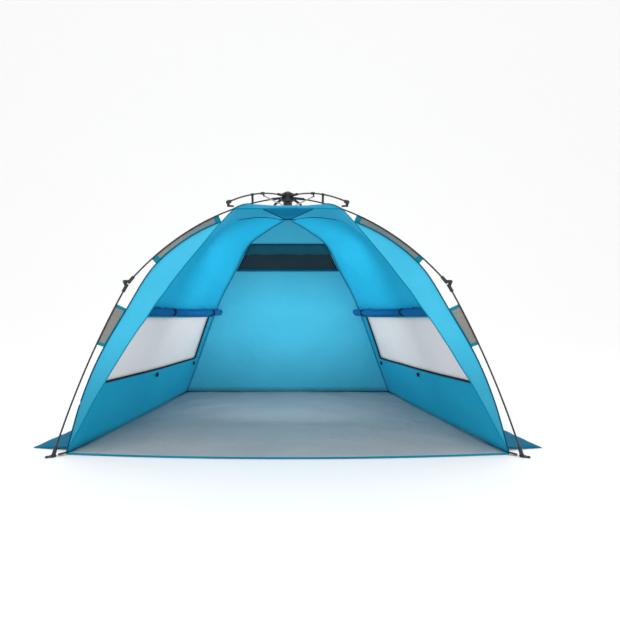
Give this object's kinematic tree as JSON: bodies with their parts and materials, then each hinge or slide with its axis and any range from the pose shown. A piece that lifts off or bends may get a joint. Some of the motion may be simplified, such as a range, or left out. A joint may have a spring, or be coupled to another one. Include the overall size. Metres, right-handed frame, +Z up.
{
  "type": "tarp shelter",
  "caption": "Folding beach shelter: cloth half-dome with an open front and awning, hung under an umbrella-hub rod frame with elbowed legs.",
  "frame": {"origin": "on the ground at the centre of the shelter's box", "axes": "+Z up, -Y towards the open front, +X to the right seen from the front"},
  "size_m": [2.5282, 1.3775, 1.352],
  "materials": {
    "rod": "satin",
    "moulding": "satin",
    "strut_metal": "satin",
    "shell_cloth": "matte",
    "cover_cloth": "matte",
    "mesh_pale": "matte",
    "mesh_dark": "matte",
    "floor_cloth": "matte",
    "webbing": "matte"
  },
  "bodies": {
    "shelter": {"crown_body": "moulding", "crown_cap": "moulding", "crown_hinge_pins": "strut_metal", "left_wall": "shell_cloth", "right_wall": "shell_cloth", "back_wall": "shell_cloth", "back_window": "mesh_dark", "side_windows": "mesh_pale", "left_cover_roll": "cover_cloth", "right_cover_roll": "cover_cloth", "back_cover_roll": "cover_cloth", "cover_ties": "webbing", "cover_toggles": "webbing", "left_wing": "shell_cloth", "right_wing": "shell_cloth", "awning": "shell_cloth", "corner_webbing": "webbing", "groundsheet": "floor_cloth", "sand_flaps": "shell_cloth"},
    "front_left_upper_leg": {"front_left_upper_rod": "rod", "front_left_crown_socket": "moulding", "front_left_elbow_upper": "moulding", "front_left_upper_sleeve": "mesh_pale"},
    "front_left_lower_leg": {"front_left_elbow_lower": "moulding", "front_left_lower_rod": "rod", "front_left_foot": "moulding", "front_left_lower_sleeve": "mesh_pale"},
    "front_right_upper_leg": {"front_right_upper_rod": "rod", "front_right_crown_socket": "moulding", "front_right_elbow_upper": "moulding", "front_right_upper_sleeve": "mesh_pale"},
    "front_right_lower_leg": {"front_right_elbow_lower": "moulding", "front_right_lower_rod": "rod", "front_right_foot": "moulding", "front_right_lower_sleeve": "mesh_pale"},
    "rear_left_upper_leg": {"rear_left_upper_rod": "rod", "rear_left_crown_socket": "moulding", "rear_left_elbow_upper": "moulding", "rear_left_upper_sleeve": "mesh_pale"},
    "rear_left_lower_leg": {"rear_left_elbow_lower": "moulding", "rear_left_lower_rod": "rod", "rear_left_foot": "moulding"},
    "rear_right_upper_leg": {"rear_right_upper_rod": "rod", "rear_right_crown_socket": "moulding", "rear_right_elbow_upper": "moulding", "rear_right_upper_sleeve": "mesh_pale"},
    "rear_right_lower_leg": {"rear_right_elbow_lower": "moulding", "rear_right_lower_rod": "rod", "rear_right_foot": "moulding"},
    "awning_left_arm": {"awning_left_rod": "rod", "awning_left_rod_fittings": "moulding", "awning_left_tip": "moulding"},
    "awning_left_stay": {"awning_left_strut": "strut_metal"},
    "awning_right_arm": {"awning_right_rod": "rod", "awning_right_rod_fittings": "moulding", "awning_right_tip": "moulding"},
    "awning_right_stay": {"awning_right_strut": "strut_metal"},
    "runner_hub": {"runner": "moulding"}
  },
  "joints": [
    {"name": "front_left_leg_fold", "type": "hinge", "parent": "shelter", "child": "front_left_upper_leg", "pos_m": [-0.04308, -0.03188, 1.308], "axis": [0.5075, -0.8616, 0], "range_deg": [0, 60], "deforming": ["left_wall", "right_wall", "back_wall", "back_window", "side_windows", "left_cover_roll", "right_cover_roll", "back_cover_roll", "cover_ties", "cover_toggles", "left_wing", "right_wing", "awning", "corner_webbing"]},
    {"name": "front_left_elbow", "type": "hinge", "parent": "front_left_upper_leg", "child": "front_left_lower_leg", "pos_m": [-0.82273, -0.49113, 0.82237], "axis": [-0.5075, 0.8616, 0], "range_deg": [0, 204]},
    {"name": "front_right_leg_fold", "type": "hinge", "parent": "shelter", "child": "front_right_upper_leg", "pos_m": [0.04308, -0.03188, 1.308], "axis": [0.5075, 0.8616, 0], "range_deg": [0, 60]},
    {"name": "front_right_elbow", "type": "hinge", "parent": "front_right_upper_leg", "child": "front_right_lower_leg", "pos_m": [0.82273, -0.49113, 0.82237], "axis": [-0.5075, -0.8616, 0], "range_deg": [0, 204]},
    {"name": "rear_left_leg_fold", "type": "hinge", "parent": "shelter", "child": "rear_left_upper_leg", "pos_m": [-0.03773, 0.0263, 1.308], "axis": [-0.6561, -0.7547, 0], "range_deg": [0, 43.2]},
    {"name": "rear_left_elbow", "type": "hinge", "parent": "rear_left_upper_leg", "child": "rear_left_lower_leg", "pos_m": [-0.5355, 0.459, 0.67327], "axis": [0.6561, 0.7547, 0], "range_deg": [0, 184.8]},
    {"name": "rear_right_leg_fold", "type": "hinge", "parent": "shelter", "child": "rear_right_upper_leg", "pos_m": [0.03773, 0.0263, 1.308], "axis": [-0.6561, 0.7547, 0], "range_deg": [0, 43.2]},
    {"name": "rear_right_elbow", "type": "hinge", "parent": "rear_right_upper_leg", "child": "rear_right_lower_leg", "pos_m": [0.5355, 0.459, 0.67327], "axis": [0.6561, -0.7547, 0], "range_deg": [0, 184.8]},
    {"name": "awning_left_arm_fold", "type": "hinge", "parent": "shelter", "child": "awning_left_arm", "pos_m": [-0.025, -0.0498, 1.322], "axis": [0.866, -0.5, 0], "range_deg": [0, 72]},
    {"name": "awning_left_strut_turn", "type": "hinge", "parent": "awning_left_arm", "child": "awning_left_stay", "pos_m": [-0.13741, -0.2445, 1.28973], "axis": [-0.866, 0.5, 0], "range_deg": [0, 144]},
    {"name": "awning_right_arm_fold", "type": "hinge", "parent": "shelter", "child": "awning_right_arm", "pos_m": [0.025, -0.0498, 1.322], "axis": [0.866, 0.5, 0], "range_deg": [0, 72]},
    {"name": "awning_right_strut_turn", "type": "hinge", "parent": "awning_right_arm", "child": "awning_right_stay", "pos_m": [0.13741, -0.2445, 1.28973], "axis": [-0.866, -0.5, 0], "range_deg": [0, 144]},
    {"name": "runner_ride", "type": "hinge", "parent": "awning_left_stay", "child": "runner_hub", "pos_m": [-0.025, -0.0498, 1.25746], "axis": [0.866, -0.5, 0], "range_deg": [0, 72]}
  ],
  "couplings": [
    {"joint": "front_left_elbow", "follows": "front_left_leg_fold", "ratio": 3.4},
    {"joint": "front_right_leg_fold", "follows": "front_left_leg_fold", "ratio": 1},
    {"joint": "front_right_elbow", "follows": "front_left_leg_fold", "ratio": 3.4},
    {"joint": "rear_left_leg_fold", "follows": "front_left_leg_fold", "ratio": 0.72},
    {"joint": "rear_left_elbow", "follows": "front_left_leg_fold", "ratio": 3.08},
    {"joint": "rear_right_leg_fold", "follows": "front_left_leg_fold", "ratio": 0.72},
    {"joint": "rear_right_elbow", "follows": "front_left_leg_fold", "ratio": 3.08},
    {"joint": "awning_left_arm_fold", "follows": "front_left_leg_fold", "ratio": 1.2},
    {"joint": "awning_left_strut_turn", "follows": "front_left_leg_fold", "ratio": 2.4},
    {"joint": "awning_right_arm_fold", "follows": "front_left_leg_fold", "ratio": 1.2},
    {"joint": "awning_right_strut_turn", "follows": "front_left_leg_fold", "ratio": 2.4},
    {"joint": "runner_ride", "follows": "front_left_leg_fold", "ratio": 1.2}
  ]
}
